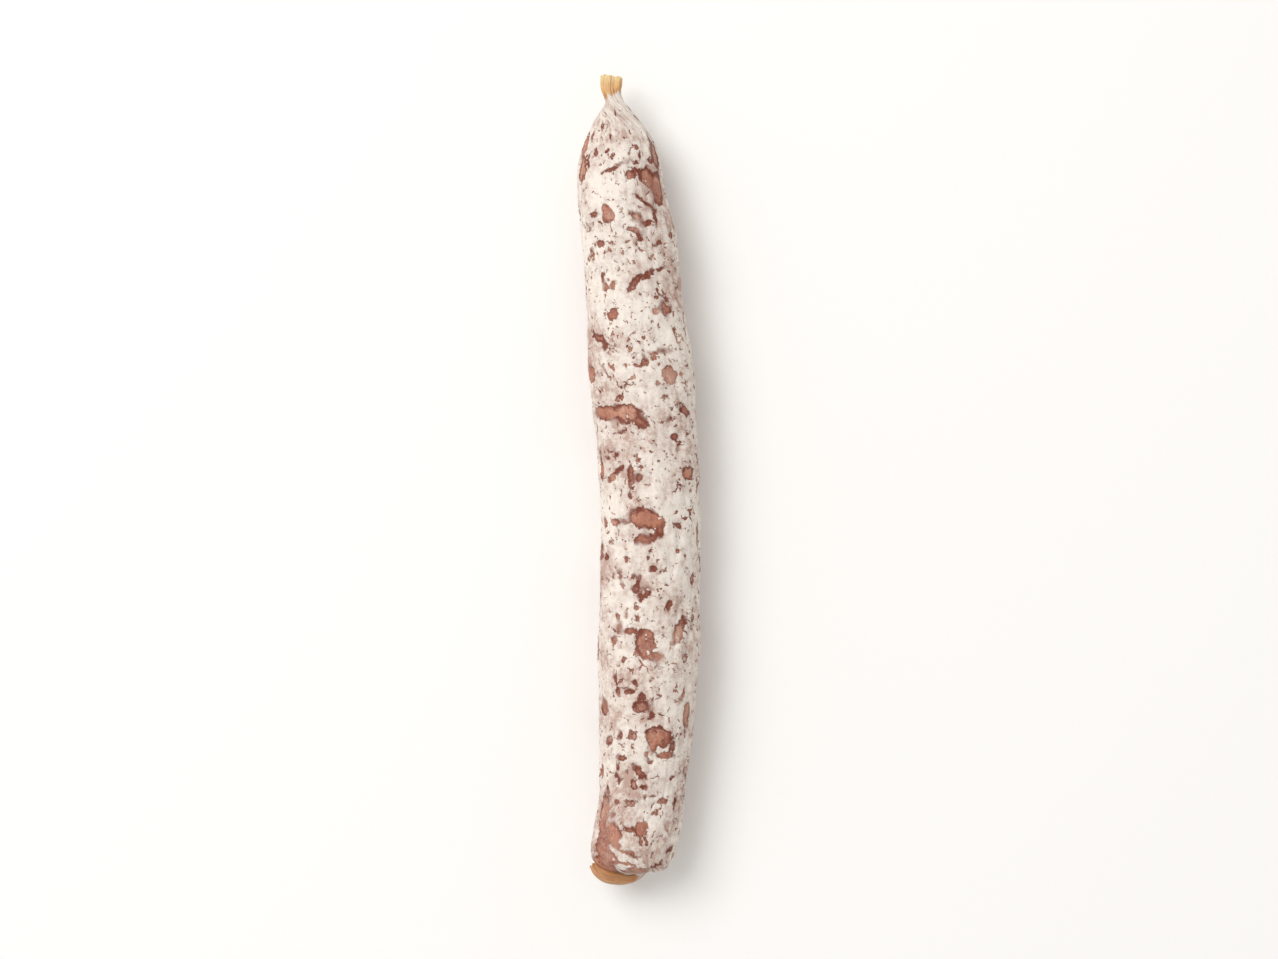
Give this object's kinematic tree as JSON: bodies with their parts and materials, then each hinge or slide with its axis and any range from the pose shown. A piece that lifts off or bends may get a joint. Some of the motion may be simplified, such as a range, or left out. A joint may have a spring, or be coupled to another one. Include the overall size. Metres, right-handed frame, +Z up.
{
  "type": "cured sausage",
  "caption": "Slim air-dried salami stick, gently bowed, coated in white mould, with one pointed end, one blunt end and a short twisted tail of dried casing at each.",
  "frame": {"origin": "on the surface that the sausage rests on, below the centre of its box", "axes": "+X along the sausage, from its blunt end to its pointed end; +Z up; the middle of the sausage bows towards -Y"},
  "size_m": [0.116, 0.0174, 0.0138],
  "materials": {
    "mould_coated_casing": "dry, wrinkled collagen casing under a powdery, patchy, cream-white mould, red-brown where it is bare"
  },
  "bodies": {
    "root": {"sausage": "mould_coated_casing"}
  },
  "joints": []
}
